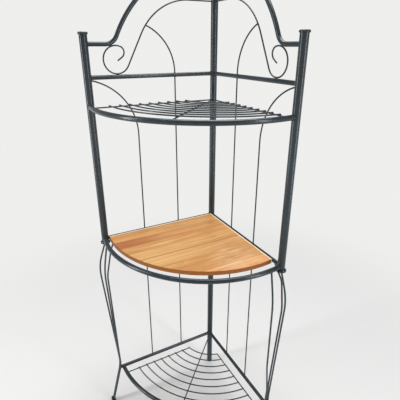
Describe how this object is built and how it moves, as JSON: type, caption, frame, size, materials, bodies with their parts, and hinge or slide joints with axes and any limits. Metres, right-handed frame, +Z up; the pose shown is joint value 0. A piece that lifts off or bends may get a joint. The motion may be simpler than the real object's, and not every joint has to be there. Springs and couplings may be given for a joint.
{
  "type": "corner bakers rack",
  "caption": "Corner bakers rack: a painted steel tube frame with scrolled side panels, a glued wood shelf, and wire shelves above and below it.",
  "frame": {"origin": "centre of the rear post's foot, on the floor", "axes": "+Z up, -Y out of the corner towards the open bowed front, +X to the right seen from the front"},
  "size_m": [0.7344, 0.5207, 1.771],
  "materials": {
    "frame_paint": "satin dark green-grey enamel",
    "shelf_wood": "satin clear lacquer on edge-glued pale hardwood staves",
    "plastic_ends": "matte moulded plastic, dark",
    "screw_steel": "zinc plated",
    "bare_steel": "plain drawn tube"
  },
  "bodies": {
    "root": {"arch_tube_left": "frame_paint", "arch_tube_right": "frame_paint", "arch_wire_left": "frame_paint", "arch_wire_right": "frame_paint", "board": "shelf_wood", "board_bar_front": "frame_paint", "board_bar_rear": "frame_paint", "board_screws": "screw_steel", "bottom_arc_wires": "frame_paint", "bottom_rail_left": "frame_paint", "bottom_rail_right": "frame_paint", "bottom_rib_centre": "frame_paint", "bottom_rib_left": "frame_paint", "bottom_rib_right": "frame_paint", "front_post_left": "frame_paint", "front_post_right": "frame_paint", "front_post_stub_left": "frame_paint", "front_post_stub_right": "frame_paint", "front_tube_bottom": "frame_paint", "front_tube_middle": "frame_paint", "front_tube_top": "frame_paint", "leg_foot_left": "plastic_ends", "leg_foot_right": "plastic_ends", "leg_rod_front_left": "frame_paint", "leg_rod_front_right": "frame_paint", "leg_rod_main_left": "frame_paint", "leg_rod_main_right": "frame_paint", "leg_rod_side_left": "frame_paint", "leg_rod_side_right": "frame_paint", "lower_inner_wire_left": "frame_paint", "lower_inner_wire_right": "frame_paint", "lower_outer_wire_left": "frame_paint", "lower_outer_wire_right": "frame_paint", "middle_rail_left": "frame_paint", "middle_rail_right": "frame_paint", "post_cap_left": "plastic_ends", "post_cap_rear": "plastic_ends", "post_cap_right": "plastic_ends", "post_collar_left": "frame_paint", "post_collar_right": "frame_paint", "rear_post_foot": "plastic_ends", "rear_post_lower": "frame_paint", "rear_post_upper": "frame_paint", "scroll_wire_left": "frame_paint", "scroll_wire_right": "frame_paint", "spigot_left": "bare_steel", "spigot_rear": "bare_steel", "spigot_right": "bare_steel", "top_arc_wires": "frame_paint", "top_rail_left": "frame_paint", "top_rail_right": "frame_paint", "top_rib_centre": "frame_paint", "top_rib_left": "frame_paint", "top_rib_right": "frame_paint", "upper_inner_wire_left": "frame_paint", "upper_inner_wire_right": "frame_paint", "upper_outer_wire_left": "frame_paint", "upper_outer_wire_right": "frame_paint"}
  },
  "joints": []
}
